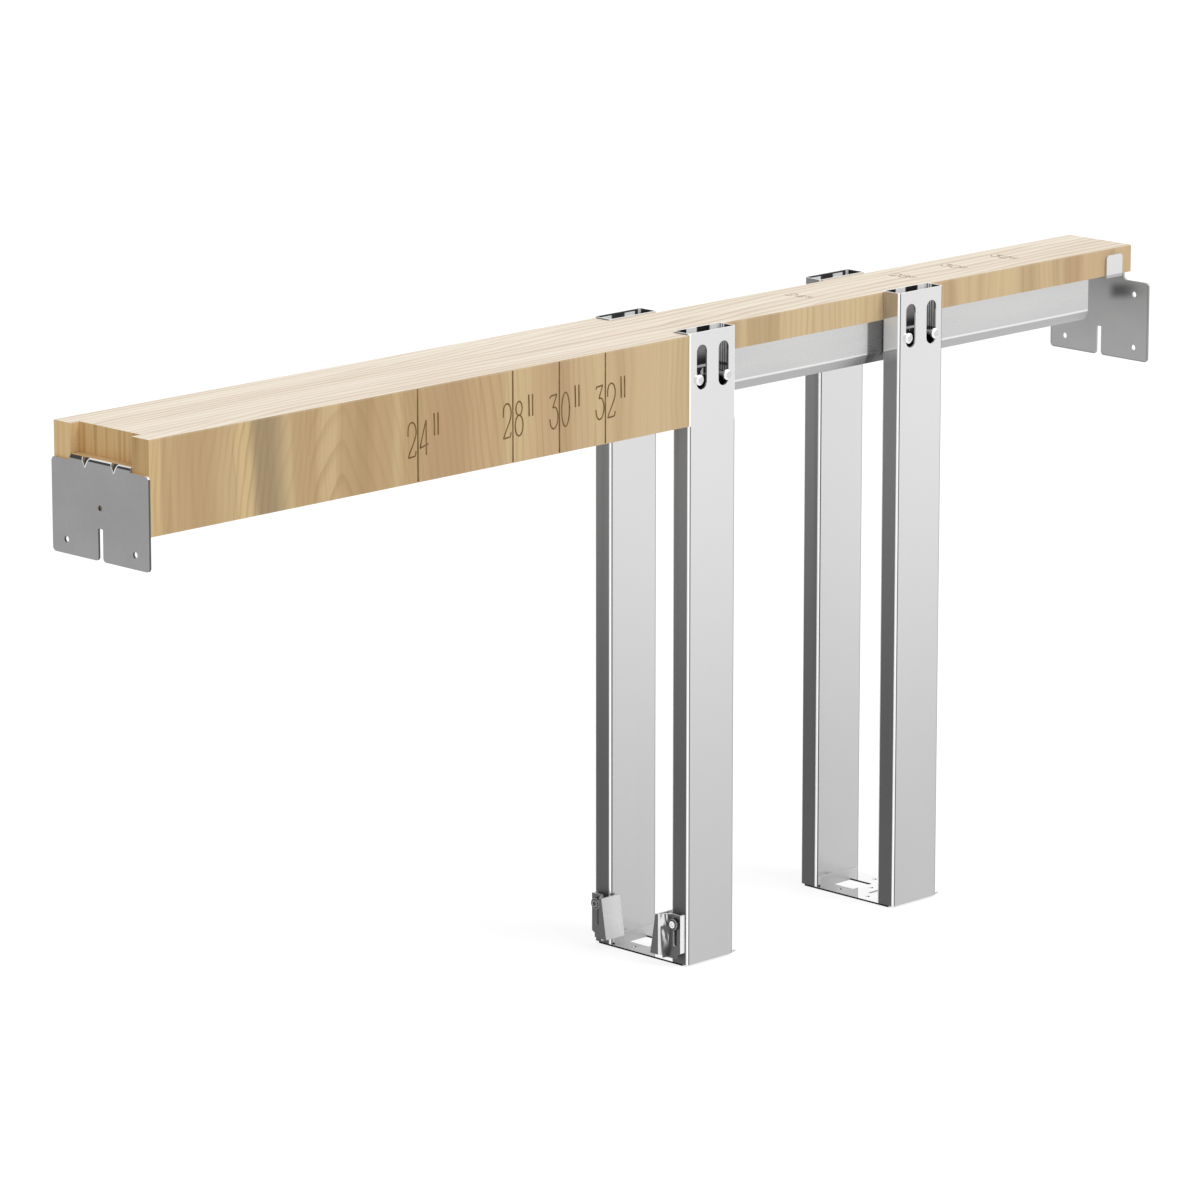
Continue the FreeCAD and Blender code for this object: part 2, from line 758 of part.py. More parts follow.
# Door guides: folded sheet on the doorway side of the first studs. A web with an upright slot
# is bolted to the stud's narrow face and can be set higher or lower. Its outer edge is turned
# back to the stud, and its inner edge runs out to a nose and a leaning pad that keeps the foot
# of the door in line.
def door_guide(label, rear):
    """A guide drawn in the frame from its lower section to its upper one, then cut."""
    body = new_body(label)
    flip = -1 if rear else 1
    face = left_end + S["doorway_length"]
    low = S["guide_bottom"]
    thick = S["guide_sheet"]
    web = S["guide_standoff"] + thick
    edge, nose = S["guide_edge"], S["guide_nose"]
    nose_start = S["guide_nose_start"]
    miter = S["guide_miter"]

    def across(size):
        """Distance in from the stud's outer face, on this guide's side of the frame."""
        return flip * (front + size)

    def section(name, height, end, pad_place):
        """The folded sheet cut level at one height."""
        sketch = new_sketch(body, label + name, "XY", height)
        points = [
            (-S["guide_gap"], edge),
            (-web, edge),
            (-web, end),
            (-nose, nose_start),
            (-nose, pad_place),
            (S["guide_pad_reach"], pad_place),
            (S["guide_pad_reach"], pad_place - thick),
            (thick - nose, pad_place - thick),
            (thick - nose, nose_start + miter),
            (thick - web, end + miter),
            (thick - web, edge + thick),
            (-S["guide_gap"], edge + thick),
        ]
        polygon(sketch, [(face + run, across(size)) for run, size in points])
        return sketch

    sheet_run = body.newObject("PartDesign::AdditiveLoft", label + "_sheet")
    sheet_run.Profile = section("_low", low, S["guide_web_bottom"], S["guide_pad_bottom"])
    sheet_run.Sections = [
        section("_high", low + S["guide_height"], S["guide_web_top"], S["guide_pad_top"])
    ]
    sheet_run.Ruled = True
    cuts = new_sketch(body, label + "_cuts", "YZ", face - nose - 1)
    bolt = S["bolt_height"]
    obround(
        cuts,
        across(S["bolt_inset"]),
        bolt - S["guide_travel"],
        bolt,
        S["guide_slot_half"],
    )
    notch, rise = S["guide_notch"], S["guide_notch_height"]
    polygon(
        cuts,
        [
            (across(edge - 1), low - 1),
            (across(edge + notch), low - 1),
            (across(edge + notch), low + rise - S["guide_notch_slope"]),
            (across(edge), low + rise),
            (across(edge - 1), low + rise),
        ],
    )
    pocket(body, cuts, nose + 1, back=True)
    # The nose and the pad stop short of the web's lower edge.
    relief = new_sketch(body, label + "_relief", "XZ", -across(S["guide_web_bottom"] + miter))
    rectangle(
        relief,
        (face - nose - 1, low - 1),
        (face + S["guide_pad_reach"] + 1, low + S["guide_pad_rise"]),
    )
    pocket(body, relief, S["guide_pad_bottom"] - S["guide_web_bottom"], back=rear)
    pieces.append(body)


door_guide("front_door_guide", False)
door_guide("rear_door_guide", True)

for label, rear in (("front_guide_bolt", False), ("rear_guide_bolt", True)):
    bolt = headed(
        label,
        S["bolt_head"],
        S["bolt_head_height"],
        S["bolt_shank"],
        S["bolt_length"],
        S["bolt_socket"],
        S["bolt_socket_depth"],
    )
    bolt.Placement = FreeCAD.Placement(FreeCAD.Vector(0, 0, 0), FreeCAD.Rotation(Y, -90))
    reach = S["guide_standoff"] + S["guide_sheet"] + S["guide_gap"]
    bind(bolt, "Placement.Base.x", left_end + S["doorway_length"] - reach)
    bind(bolt, "Placement.Base.y", (front + S["bolt_inset"]) * (-1 if rear else 1))
    bind(bolt, "Placement.Base.z", S["bolt_height"])
    pieces.append(bolt)

doc.recompute()

# Every object must have computed, and every piece must be one sound solid.
for item in doc.Objects:
    if "Invalid" in item.State or "Error" in item.State:
        raise RuntimeError("%s failed: %s" % (item.Name, item.State))
for piece in pieces:
    shape = piece.Shape
    if shape.isNull() or not shape.isValid() or len(shape.Solids) != 1:
        raise RuntimeError("%s is not one sound solid" % piece.Label)

os.makedirs("parts", exist_ok=True)
for piece in pieces:
    piece.Shape.exportStep("parts/%s.step" % piece.Label)
    box = piece.Shape.BoundBox
    print(
        "%-24s volume %9.1f  x %8.2f %8.2f  y %7.2f %7.2f  z %7.2f %7.2f"
        % (
            piece.Label,
            piece.Shape.Volume,
            box.XMin,
            box.XMax,
            box.YMin,
            box.YMax,
            box.ZMin,
            box.ZMax,
        )
    )
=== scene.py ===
import bpy
import bmesh
import numpy as np
from mathutils import Matrix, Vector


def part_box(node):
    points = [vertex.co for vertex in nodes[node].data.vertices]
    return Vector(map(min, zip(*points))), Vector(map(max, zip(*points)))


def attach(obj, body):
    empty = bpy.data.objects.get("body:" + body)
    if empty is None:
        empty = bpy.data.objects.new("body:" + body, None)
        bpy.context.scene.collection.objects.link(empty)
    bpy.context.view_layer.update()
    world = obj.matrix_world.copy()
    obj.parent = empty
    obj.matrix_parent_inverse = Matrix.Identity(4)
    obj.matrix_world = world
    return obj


# Pocket door frame for a 2x4 stud wall: a timber header with a track under it, carried by two
# pairs of split steel studs. Metres; X runs along the header, -Y is the front, Z is up and the
# floor is at zero.
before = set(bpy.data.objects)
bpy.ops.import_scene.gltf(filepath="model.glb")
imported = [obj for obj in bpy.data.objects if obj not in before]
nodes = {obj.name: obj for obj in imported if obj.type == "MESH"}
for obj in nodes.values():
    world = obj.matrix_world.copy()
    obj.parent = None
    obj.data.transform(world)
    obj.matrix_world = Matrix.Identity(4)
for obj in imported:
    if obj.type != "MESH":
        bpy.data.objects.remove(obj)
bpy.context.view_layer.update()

# Timber header.
# A planed softwood board lies flat along the whole top. Two nailers stand on edge along its
# doorway half, glued and screwed to its sides, with upright figure on their faces.


class Wire:
    """A shader value whose arithmetic adds Math nodes to its own finish."""

    def __init__(self, finish, socket):
        self.finish = finish
        self.socket = socket

    def _math(self, operation, first, second):
        return self.finish.node("Math", {"operation": operation}, {0: first, 1: second})

    def __add__(self, other):
        return self._math("ADD", self, other)

    def __radd__(self, other):
        return self._math("ADD", other, self)

    def __sub__(self, other):
        return self._math("SUBTRACT", self, other)

    def __rsub__(self, other):
        return self._math("SUBTRACT", other, self)

    def __mul__(self, other):
        return self._math("MULTIPLY", self, other)

    def __rmul__(self, other):
        return self._math("MULTIPLY", other, self)

    def __neg__(self):
        return self._math("MULTIPLY", -1.0, self)

    def __abs__(self):
        return self._math("ABSOLUTE", self, 0.0)

    def between(self, low, high, start=0.0, end=1.0):
        """Eases from start to end while the value goes from low to high."""
        return self.finish.node(
            "MapRange",
            {"interpolation_type": "SMOOTHSTEP"},
            {"Value": self, "From Min": low, "From Max": high, "To Min": start, "To Max": end},
        )

    def window(self, rise_from, rise_to, fall_from, fall_to):
        """Eases up to 1 between the first two values and back to 0 between the last two."""
        return self.between(rise_from, rise_to) * (1 - self.between(fall_from, fall_to))


class Finish:
    """A procedural material, with the few kinds of node that this frame's surfaces need.

    Where marks are painted over each other, its colour keeps what is there so far.
    """

    def __init__(self, name):
        self.material = bpy.data.materials.new(name)
        self.material.use_nodes = True
        self.tree = self.material.node_tree
        self.tree.nodes.clear()
        self.colour = None

    def node(self, kind, settings=None, inputs=None, output=0):
        """Adds a node, sets it, fills or links its inputs, and gives one of its outputs."""
        made = self.tree.nodes.new("ShaderNode" + kind)
        for name, value in (settings or {}).items():
            setattr(made, name, value)
        for name, value in (inputs or {}).items():
            if isinstance(value, Wire):
                self.tree.links.new(value.socket, made.inputs[name])
            else:
                made.inputs[name].default_value = value
        return Wire(self, made.outputs[output]) if made.outputs else None

    def place(self, scale=(1.0, 1.0, 1.0)):
        """The point on the piece in metres, stretched along each axis."""
        point = self.node("TexCoord", output="Object")
        return self.node("VectorMath", {"operation": "MULTIPLY"}, {0: point, 1: scale})

    def along(self, vector, axis):
        """One coordinate of a vector."""
        return self.node("SeparateXYZ", inputs={0: vector}, output=axis)

    def join(self, x, y, z):
        """A vector from three values."""
        return self.node("CombineXYZ", inputs={"X": x, "Y": y, "Z": z})

    def noise(self, scale, detail=3.0, roughness=0.5, distortion=0.0, at=None):
        """Soft noise from 0 to 1 whose grains are 1 / scale metres long on each axis."""
        if at is None:
            vector = self.place(scale)
        else:
            vector = self.node("VectorMath", {"operation": "MULTIPLY"}, {0: at, 1: scale})
        return self.node(
            "TexNoise",
            inputs={
                "Vector": vector,
                "Scale": 1.0,
                "Detail": detail,
                "Roughness": roughness,
                "Distortion": distortion,
            },
        )

    def mix(self, factor, first, second):
        """First colour at factor 0, second at 1."""
        return self.node(
            "Mix", {"data_type": "RGBA"}, {0: factor, 6: first, 7: second}, output=2
        )

    def paint(self, mask, tint):
        """Lays a tint over the colour so far, as strongly as the mask says."""
        self.colour = self.mix(mask, self.colour, tint)

    def bump(self, height, depth, strength):
        """A normal from a height of 0 to 1 that stands for a depth in metres."""
        return self.node(
            "Bump", inputs={"Height": height, "Distance": depth, "Strength": strength}
        )

    def surface(self, **sockets):
        """The closing shader; names are its sockets with _ for a space."""
        inputs = {name.replace("_", " "): value for name, value in sockets.items()}
        shader = self.node("BsdfPrincipled", inputs=inputs)
        self.node("OutputMaterial", inputs={"Surface": shader})
        return self.material


def shade(red, green, blue):
    """A colour given as it shows on a screen, from 0 to 255, as a linear one."""
    level = np.array([red, green, blue]) / 255.0
    linear = np.where(level > 0.04045, ((level + 0.055) / 1.055) ** 2.4, level / 12.92)
    return tuple(float(value) for value in linear) + (1.0,)


def dress(node, material):
    """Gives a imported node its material."""
    for holder in nodes[node].material_slots:
        holder.material = material


def timber(name, shift):
    """Planed pine: tan upright figure on the faces, pale long grain on the top, striped ends.

    A growth ring is a ramp that darkens slowly and stops sharply, once for each whole turn of
    a slow count. On the faces the count is the distance from an upright heart line plus a
    little of the height, so that the rings lean together above it. On the top it is mostly
    the depth, bent by slow noise. Shift slides the noise along the piece.
    """
    wood = Finish(name)
    normal = wood.node("NewGeometry", output="Normal")
    top_face = wood.along(normal, "Z").between(0.5, 0.8)
    end_face = abs(wood.along(normal, "X")).between(0.5, 0.8)
    point = wood.place()
    length, depth, height = (wood.along(point, axis) for axis in "XYZ")

    def rings(turns, start):
        """Ramps from 0 at the start of the last part of each turn to 1 at its end."""
        part = wood.node("Math", {"operation": "FRACT"}, {0: turns})
        return part.window(start, 0.94, 0.96, 1.0)

    # Upright figure: wide soft bands and fine rings, both bent by the same slow wave.
    spot = wood.join(length + shift, depth, height)
    wave = wood.noise((11.0, 9.0, 9.0), detail=2.0, at=spot) - 0.5
    bent_length = length + wave * 0.020
    bent = wood.join(bent_length + shift, depth, height)
    bands = wood.noise((30.0, 24.0, 1.5), detail=2.0, at=bent)
    rosy = wood.noise((17.0, 16.0, 2.0), detail=1.0, at=wood.join(bent_length + 3.7, depth, height))
    streaks = wood.noise((460.0, 260.0, 5.0), detail=3.0, roughness=0.6, at=bent)
    heart_at = -0.310
    heart = bent_length - heart_at
    away = wood.node("Math", {"operation": "SQRT"}, {0: heart * heart + 0.0004})
    slant = (height - board_low[2]) * 0.24 * (1 - 0.8 * abs(heart).between(0.05, 0.20))
    fan = (away + slant) * 165.0 + wood.noise((34.0, 20.0, 3.0), detail=1.0, at=bent) * 3.0
    spot = wood.join(length + 1.9 + shift, depth, height)
    vivid = wood.noise((14.0, 14.0, 3.0), detail=1.0, at=spot)
    vivid = vivid.between(0.40, 0.60, 0.12, 0.42) * (1 - 0.65 * length.between(-0.25, -0.10))
    vivid = vivid * length.between(-0.42, -0.38, 0.45, 1.0)
    warm = wood.mix(length.between(-0.30, 0.05), shade(193, 163, 120), shade(213, 188, 148))
    # The figure is calm beside the first stud.
    calm = 1 - 0.7 * length.window(-0.10, -0.03, 0.0, 0.01)
    face = wood.mix(bands.between(0.50, 0.64) * calm * 0.50, warm, shade(172, 143, 104))
    face = wood.mix((1 - bands.between(0.36, 0.48)) * calm * 0.50, face, shade(219, 195, 150))
    face = wood.mix(rosy.between(0.50, 0.64) * calm * 0.32, face, shade(196, 158, 124))
    # Near its free end the nailer has a grey streak beside a pale one, and pale sapwood.
    grey = bent_length.window(-0.392, -0.380, -0.372, -0.350)
    pale = bent_length.window(-0.402, -0.394, -0.390, -0.382)
    sap = 1 - length.between(-0.4625, -0.4595)
    face = wood.mix(grey * 0.88, face, shade(158, 139, 107))
    face = wood.mix(pale * 0.60 + sap * 0.75, face, shade(219, 190, 140))
    face = wood.mix(rings(fan, 0.50) * vivid, face, shade(146, 112, 72))
    face = wood.mix(streaks.between(0.50, 0.80) * 0.30, face, shade(156, 126, 88))

    # Long grain on the top: fine rings that sweep from the front edge back.
    flat = wood.join(length + shift, depth, 0.0)
    sweep = wood.noise((2.4, 9.0, 1.0), detail=1.0, roughness=0.4, at=flat)
    jitter = wood.noise((9.0, 70.0, 1.0), detail=1.0, at=flat)
    count = depth * 150.0 - length * 7.0 + sweep * 7.5 + jitter * 1.2
    drift = wood.noise((3.0, 50.0, 1.0), detail=2.0, at=flat)
    fibre = wood.noise((6.0, 900.0, 1.0), detail=2.0, roughness=0.6, at=flat)
    top = wood.mix(drift.between(0.35, 0.65), shade(239, 228, 211), shade(232, 218, 199))
    ring_strength = drift.between(0.30, 0.65, 0.32, 0.66)
    top = wood.mix(rings(count, 0.25) * ring_strength, top, shade(196, 177, 156))
    top = wood.mix(fibre.between(0.50, 0.72) * 0.20, top, shade(206, 190, 170))

    # The ends: streaked across, paler on the rear nailer and darker on the front one.
    rays = wood.noise((30.0, 360.0, 8.0), detail=3.0, roughness=0.6)
    end = wood.mix(rays.between(0.42, 0.72), shade(225, 188, 132), shade(190, 152, 100))
    end = wood.mix(depth.between(0.028, 0.030) * 0.55, end, shade(252, 218, 164))
    end = wood.mix((-depth).between(0.028, 0.030) * 0.25, end, shade(176, 138, 86))
    colour = wood.mix(end_face, face, end)
    # The upper arris is painted a little pale, as a highlight along the edge.
    ceiling = board_high[2]
    arris_highlight = height.between(ceiling - 0.0014, ceiling - 0.0006) * (1 - top_face) * (1 - end_face)
    colour = wood.mix(arris_highlight * 0.20, colour, shade(232, 212, 180))
    colour = wood.mix(top_face, colour, top)
    return wood.surface(
        Base_Color=colour,
        Roughness=streaks.between(0.2, 0.8, 0.50, 0.68),
        Normal=wood.bump(streaks * (1 - top_face) + fibre * top_face, 0.0002, 0.25),
        Specular_IOR_Level=0.30,
    )


board_low, board_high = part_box("header_board")
dress("header_board", timber("board_pine", 0.0))
nailer_pine = timber("nailer_pine", 7.3)
dress("front_nailer", nailer_pine)
dress("rear_nailer", nailer_pine)


# Cut marks: lines scribed across the front nailer where the header is sawn for a narrower
# door, each with its number of inches, and the same numbers lightly branded on the board.
def sweep_curve(points, samples=7):
    """A smooth line through the points: each span is a cubic whose slope at a point is half
    the step between the point's two neighbours."""
    points = np.asarray(points, float)
    padded = np.vstack([2 * points[0] - points[1], points, 2 * points[-1] - points[-2]])
    t = np.linspace(0.0, 1.0, samples, endpoint=False)[None, :, None]
    before, start, end, after = (padded[k:len(padded) - 3 + k, None, :] for k in range(4))
    spans = 0.5 * (
        2 * start
        + (end - before) * t
        + (2 * before - 5 * start + 4 * end - after) * t ** 2
        + (3 * start - before - 3 * end + after) * t ** 3
    )
    return np.vstack([spans.reshape(-1, 2), points[-1:]])


def oval(middle, reach, samples=26):
    """A closed ring: the middle plus the reach times the cosine and sine of the turn."""
    turn = np.linspace(0.0, 2 * np.pi, samples)
    circle = np.column_stack([np.cos(turn), np.sin(turn)])
    return np.array(middle) + np.array(reach) * circle


def scribe(path, width, lift):
    """A low bead along a flat path, as arrays: across, up and proud of the face.

    The bead's section is half an ellipse, its half width across the path and its lift off
    the face, closed underneath. Each end is closed by a flat cap.
    """
    path = np.asarray(path, float)
    slope = np.gradient(path, axis=0)
    slope /= np.linalg.norm(slope, axis=1)[:, None]
    side = np.column_stack([-slope[:, 1], slope[:, 0]])
    turn = np.linspace(0.0, np.pi, 7)
    across = 0.5 * width * np.cos(turn)
    flat = path[:, None, :] + side[:, None, :] * across[None, :, None]
    proud = np.broadcast_to(lift * np.sin(turn), flat.shape[:2])
    points = np.concatenate([flat, proud[:, :, None]], axis=2)
    rows, ring = points.shape[:2]
    index = np.arange(rows * ring).reshape(rows, ring)
    turned = np.roll(index, -1, axis=1)
    quads = np.stack([index[:-1], turned[:-1], turned[1:], index[1:]], axis=-1).reshape(-1, 4)
    faces = quads.tolist() + [index[0].tolist(), index[-1][::-1].tolist()]
    return points.reshape(-1, 3), faces


def piece(name, parts, body, material):
    """Joins parts, each points and faces, into one mesh that rides on a body."""
    corners, faces = [], []
    for points, part_faces in parts:
        base = sum(len(block) for block in corners)
        corners.append(points)
        faces += [[base + corner for corner in face] for face in part_faces]
    mesh = bpy.data.meshes.new(name)
    mesh.from_pydata(np.vstack(corners).tolist(), [], faces)
    work = bmesh.new()
    work.from_mesh(mesh)
    bmesh.ops.recalc_face_normals(work, faces=work.faces)
    work.to_mesh(mesh)
    work.free()
    mesh.shade_smooth()
    made = bpy.data.objects.new(name, mesh)
    bpy.context.scene.collection.objects.link(made)
    mesh.materials.append(material)
    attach(made, body)
    return made


# Each numeral is drawn in a box one wide and one tall, as the strokes of a scribing tool.
NUMERALS = {
    "0": [oval((0.5, 0.5), (0.48, 0.5))],
    "2": [
        sweep_curve([(0.03, 0.62), (0.04, 0.80), (0.18, 0.95), (0.50, 1.0), (0.82, 0.93),
                     (0.98, 0.75), (0.90, 0.56), (0.55, 0.32), (0.22, 0.13), (0.06, 0.0)]),
        sweep_curve([(0.06, 0.0), (0.50, 0.01), (0.86, 0.03), (0.97, 0.16)]),
    ],
    "3": [
        sweep_curve([(0.02, 0.90), (0.12, 0.97), (0.50, 0.98), (0.86, 1.0)]),
        sweep_curve([(0.86, 1.0), (0.62, 0.81), (0.38, 0.62)]),
        sweep_curve([(0.38, 0.62), (0.72, 0.61), (0.97, 0.46), (1.0, 0.26), (0.80, 0.07),
                     (0.45, 0.0), (0.14, 0.09), (0.0, 0.30)]),
    ],
    "4": [
        sweep_curve([(0.74, 1.0), (0.74, 0.5), (0.74, 0.0)]),
        sweep_curve([(0.74, 1.0), (0.38, 0.64), (0.0, 0.22)]),
        sweep_curve([(0.0, 0.22), (0.5, 0.26), (1.0, 0.30)]),
    ],
    "8": [oval((0.5, 0.80), (0.38, 0.20)), oval((0.5, 0.30), (0.48, 0.30))],
    '"': [
        sweep_curve([(0.0, 1.0), (0.03, 0.7), (0.05, 0.38)]),
        sweep_curve([(0.46, 1.0), (0.47, 0.7), (0.48, 0.38)]),
    ],
}


def numeral(sign, corner, size, width, lift):
    """The strokes of one numeral, scaled to its size at its lower left corner."""
    return [
        scribe(stroke * np.array(size) + np.array(corner), width, lift)
        for stroke in NUMERALS[sign]
    ]


def on_front(parts, middle, height, plane):
    """Stands flat parts up on a front face: across is X, up is Z, proud is -Y."""
    return [
        (np.column_stack([middle + p[:, 0], plane - p[:, 2], height + p[:, 1]]), faces)
        for p, faces in parts
    ]


def on_top(parts, middle, depth, plane):
    """Lays flat parts on a top face, read from the pocket end: across is -Y, up is X."""
    return [
        (np.column_stack([middle + p[:, 1], depth - p[:, 0], plane + p[:, 2]]), faces)
        for p, faces in parts
    ]


scorch = Finish("scribed_line")
burn = scorch.noise((420.0, 420.0, 160.0), detail=2.0)
scribed = scorch.surface(
    Base_Color=scorch.mix(burn.between(0.3, 0.7), shade(104, 80, 48), shade(132, 105, 68)),
    Roughness=burn.between(0.3, 0.7, 0.75, 0.9),
    Normal=scorch.bump(burn, 0.0002, 0.4),
    Specular_IOR_Level=0.2,
)
faint = Finish("faint_brand")
soot = faint.noise((500.0, 500.0, 500.0), detail=2.0)
branded = faint.surface(
    Base_Color=faint.mix(soot.between(0.35, 0.6), shade(88, 70, 52), shade(150, 128, 102)),
    Roughness=soot.between(0.3, 0.7, 0.7, 0.85),
    Normal=faint.bump(soot, 0.0002, 0.3),
    Specular_IOR_Level=0.2,
)

nailer_low, nailer_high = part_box("front_nailer")
tall = nailer_high[2] - nailer_low[2]
first_inches = 24
sunk = 0.00002

# On the nailer the tens stand left of their line, the units and the inch sign right of it.
inch_on_nailer = 0.021154
first_line = nailer_low[0] + 0.2273
line_width = 0.0014
line_inset = 0.0006
scribed_lift = 0.00012
numeral_width = 0.0012
numeral_size = (0.0074, 0.0226)
sign_size = (0.0074, 0.0234)
tens_across, units_across, sign_across = -0.0088, 0.0019, 0.0144
numeral_up = tall - 0.0442
sign_up = numeral_up + 0.0026

# On the board the numerals are small, and run from behind its middle towards the front.
inch_on_board = 0.0263
first_brand = nailer_low[0] + 0.6357
brand_width = 0.0009
brand_lift = 0.00010
brand_size = (0.0062, 0.0085)
brand_places = (0.0, 0.0082, 0.0163)
brand_back = 0.009
brand_depth = 0.0125

for inches in (24, 28, 30, 32):
    tens, units = str(inches)
    line = np.column_stack([np.zeros(9), np.linspace(line_inset, tall - line_inset, 9)])
    parts = [scribe(line, line_width, scribed_lift)]
    for sign, across in ((tens, tens_across), (units, units_across)):
        parts += numeral(sign, (across, numeral_up), numeral_size, numeral_width, scribed_lift)
    parts += numeral('"', (sign_across, sign_up), sign_size, line_width, scribed_lift)
    middle = first_line + (inches - first_inches) * inch_on_nailer
    mark = piece(
        "cut_mark_%d" % inches,
        on_front(parts, middle, nailer_low[2], nailer_low[1] + sunk),
        "frame",
        scribed,
    )
    parts = []
    for sign, across in zip((tens, units, '"'), brand_places):
        parts += numeral(sign, (across, 0.0), brand_size, brand_width, brand_lift)
    middle = first_brand + (inches - first_inches) * inch_on_board
    brand = piece(
        "board_mark_%d" % inches,
        on_top(parts, middle - brand_back, brand_depth, board_high[2] - sunk),
        "frame",
        branded,
    )

# Track.
# An extruded aluminium channel screwed up under the board, left as it came from the die: satin,
# with faint lines drawn along its length.
mill = Finish("track_satin")
point = mill.place()
length, height = mill.along(point, "X"), mill.along(point, "Z")
drawn = mill.noise((1.6, 600.0, 600.0), detail=3.0)
haze = mill.noise((6.0, 40.0, 40.0), detail=2.0)
mill.colour = mill.mix(haze.between(0.3, 0.7), shade(200, 200, 200), shade(207, 207, 206))
mill.paint(drawn.between(0.5, 0.8) * 0.05, shade(186, 186, 188))
# Below its fold the side slopes away as a lip painted darker as shade, and the fold is a painted
# bright highlight line.
track_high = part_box("door_track")[1]
side_height = 0.022
fold = track_high[2] - side_height
lip_shade = 1 - height.between(fold - 0.0012, fold - 0.0004)
mill.paint(lip_shade * 0.85, shade(176, 176, 177))
ridge_highlight = height.window(fold - 0.0011, fold - 0.0002, fold + 0.0002, fold + 0.0011)
mill.paint(ridge_highlight, shade(238, 238, 238))
# Beside the pocket's stud the track carries a painted dark reflection of the stud's shaded side.
stud_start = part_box("pocket_stud_front")[0][0]
mirror_start = stud_start - 0.0155
mirror_end = stud_start + 0.044
stud_reflection = length.window(mirror_start, mirror_start + 0.0015, mirror_end, mirror_end + 0.001)
mill.paint(stud_reflection * 0.85, shade(102, 102, 102))
dress(
    "door_track",
    mill.surface(
        Base_Color=mill.colour,
        Metallic=0.80,
        Roughness=drawn.between(0.3, 0.7, 0.26, 0.32),
        Normal=mill.bump(drawn, 0.0001, 0.03),
    ),
)


# End brackets.
# Plates pressed from galvanised sheet, matt mid grey on the outside, nailed to the side studs
# of the opening. Each folds under the board, and its fold is stiffened by two pressed notches.


class DullZinc(Finish):
    """Matt galvanised sheet with soft cloud and spangle, for marks to be painted on."""

    def __init__(self, name, pale, dark):
        super().__init__(name)
        fine = self.place((260.0, 260.0, 260.0))
        self.spangle = self.node("TexVoronoi", {"feature": "F1"}, {"Vector": fine, "Scale": 1.0})
        self.cloud = self.noise((24.0, 24.0, 24.0), detail=2.0)
        self.colour = self.mix(self.cloud.between(0.3, 0.7), pale, dark)
        self.paint(self.spangle.between(0.2, 0.8) * 0.05, shade(200, 200, 204))

    def sheet(self):
        """The finished material."""
        return self.surface(
            Base_Color=self.colour,
            Metallic=0.30,
            Roughness=self.cloud.between(0.3, 0.7, 0.42, 0.50),
            Normal=self.bump(self.spangle, 0.00008, 0.05),
            Specular_IOR_Level=0.40,
        )


# The pocket end plate is painted paler than the doorway one, as light that makes up for the shade
# the board and track cast on it. Its upturned tabs are painted paler still, as lit faces, and
# the nearer one has a painted soft shadow on the plate below it. A darker line runs round the
# plate's edge.
zinc = DullZinc("right_bracket_zinc", shade(188, 188, 188), shade(183, 183, 183))
point = zinc.place()
length, across, height = (zinc.along(point, axis) for axis in "XYZ")
normal = zinc.node("NewGeometry", output="Normal")
flank = abs(zinc.along(normal, "Y")).between(0.5, 0.9)
tab = flank * height.between(board_low[2] + 0.0002, board_low[2] + 0.0010)
zinc.paint(tab, shade(228, 227, 227))
right_low, right_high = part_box("right_end_bracket")
shadow_height = 0.4002
shadow_start = 0.020
shadow_slope = 0.15
# The painted soft shadow under the nearer tab.
from_shadow = abs(height - shadow_height + (across + shadow_start) * shadow_slope)
painted_patch = (1 - from_shadow.between(0.0010, 0.0085)) * (-across).between(0.006, 0.016)
painted_patch = painted_patch * (1 - 0.85 * (-across).between(0.020, 0.043))
painted_patch = painted_patch * length.between(right_high[0] - 0.0020, right_high[0] - 0.0017)
painted_patch = painted_patch * (-zinc.along(normal, "X")).between(0.5, 0.9)
zinc.paint(painted_patch * 0.80, shade(72, 72, 73))
inner = height.between(right_low[2] + 0.0004, right_low[2] + 0.0012)
inner = inner * (1 - abs(across).between(right_high[1] - 0.0012, right_high[1] - 0.0004))
zinc.paint((1 - inner) * 0.45, shade(96, 96, 97))
dress("right_end_bracket", zinc.sheet())

# The doorway end plate's fold is painted as a thin bright highlight over a dark line, and its
# flange with a painted reflection of the board's end. Each notch is a V with painted highlights
# on its edges, whose front arm is painted dark as shade.
zinc = DullZinc("left_bracket_zinc", shade(168, 168, 168), shade(164, 164, 164))
point = zinc.place()
across, height = zinc.along(point, "Y"), zinc.along(point, "Z")
normal = zinc.node("NewGeometry", output="Normal")
rise = zinc.along(normal, "Z")
fold_top = track_high[2]
on_fold = height.between(fold_top - 0.0040, fold_top - 0.0034)
bored = (-zinc.along(normal, "Y")).between(0.3, 0.6) * (1 - on_fold)
zinc.paint(bored, shade(84, 84, 86))
zinc.paint(rise.between(0.18, 0.30) * on_fold, shade(48, 48, 50))
fold_highlight = rise.between(0.66, 0.74) * (1 - across.between(0.011, 0.012)) * on_fold
zinc.paint(fold_highlight, shade(252, 252, 252))
zinc.paint(rise.between(0.88, 0.95) * on_fold, shade(214, 184, 140))
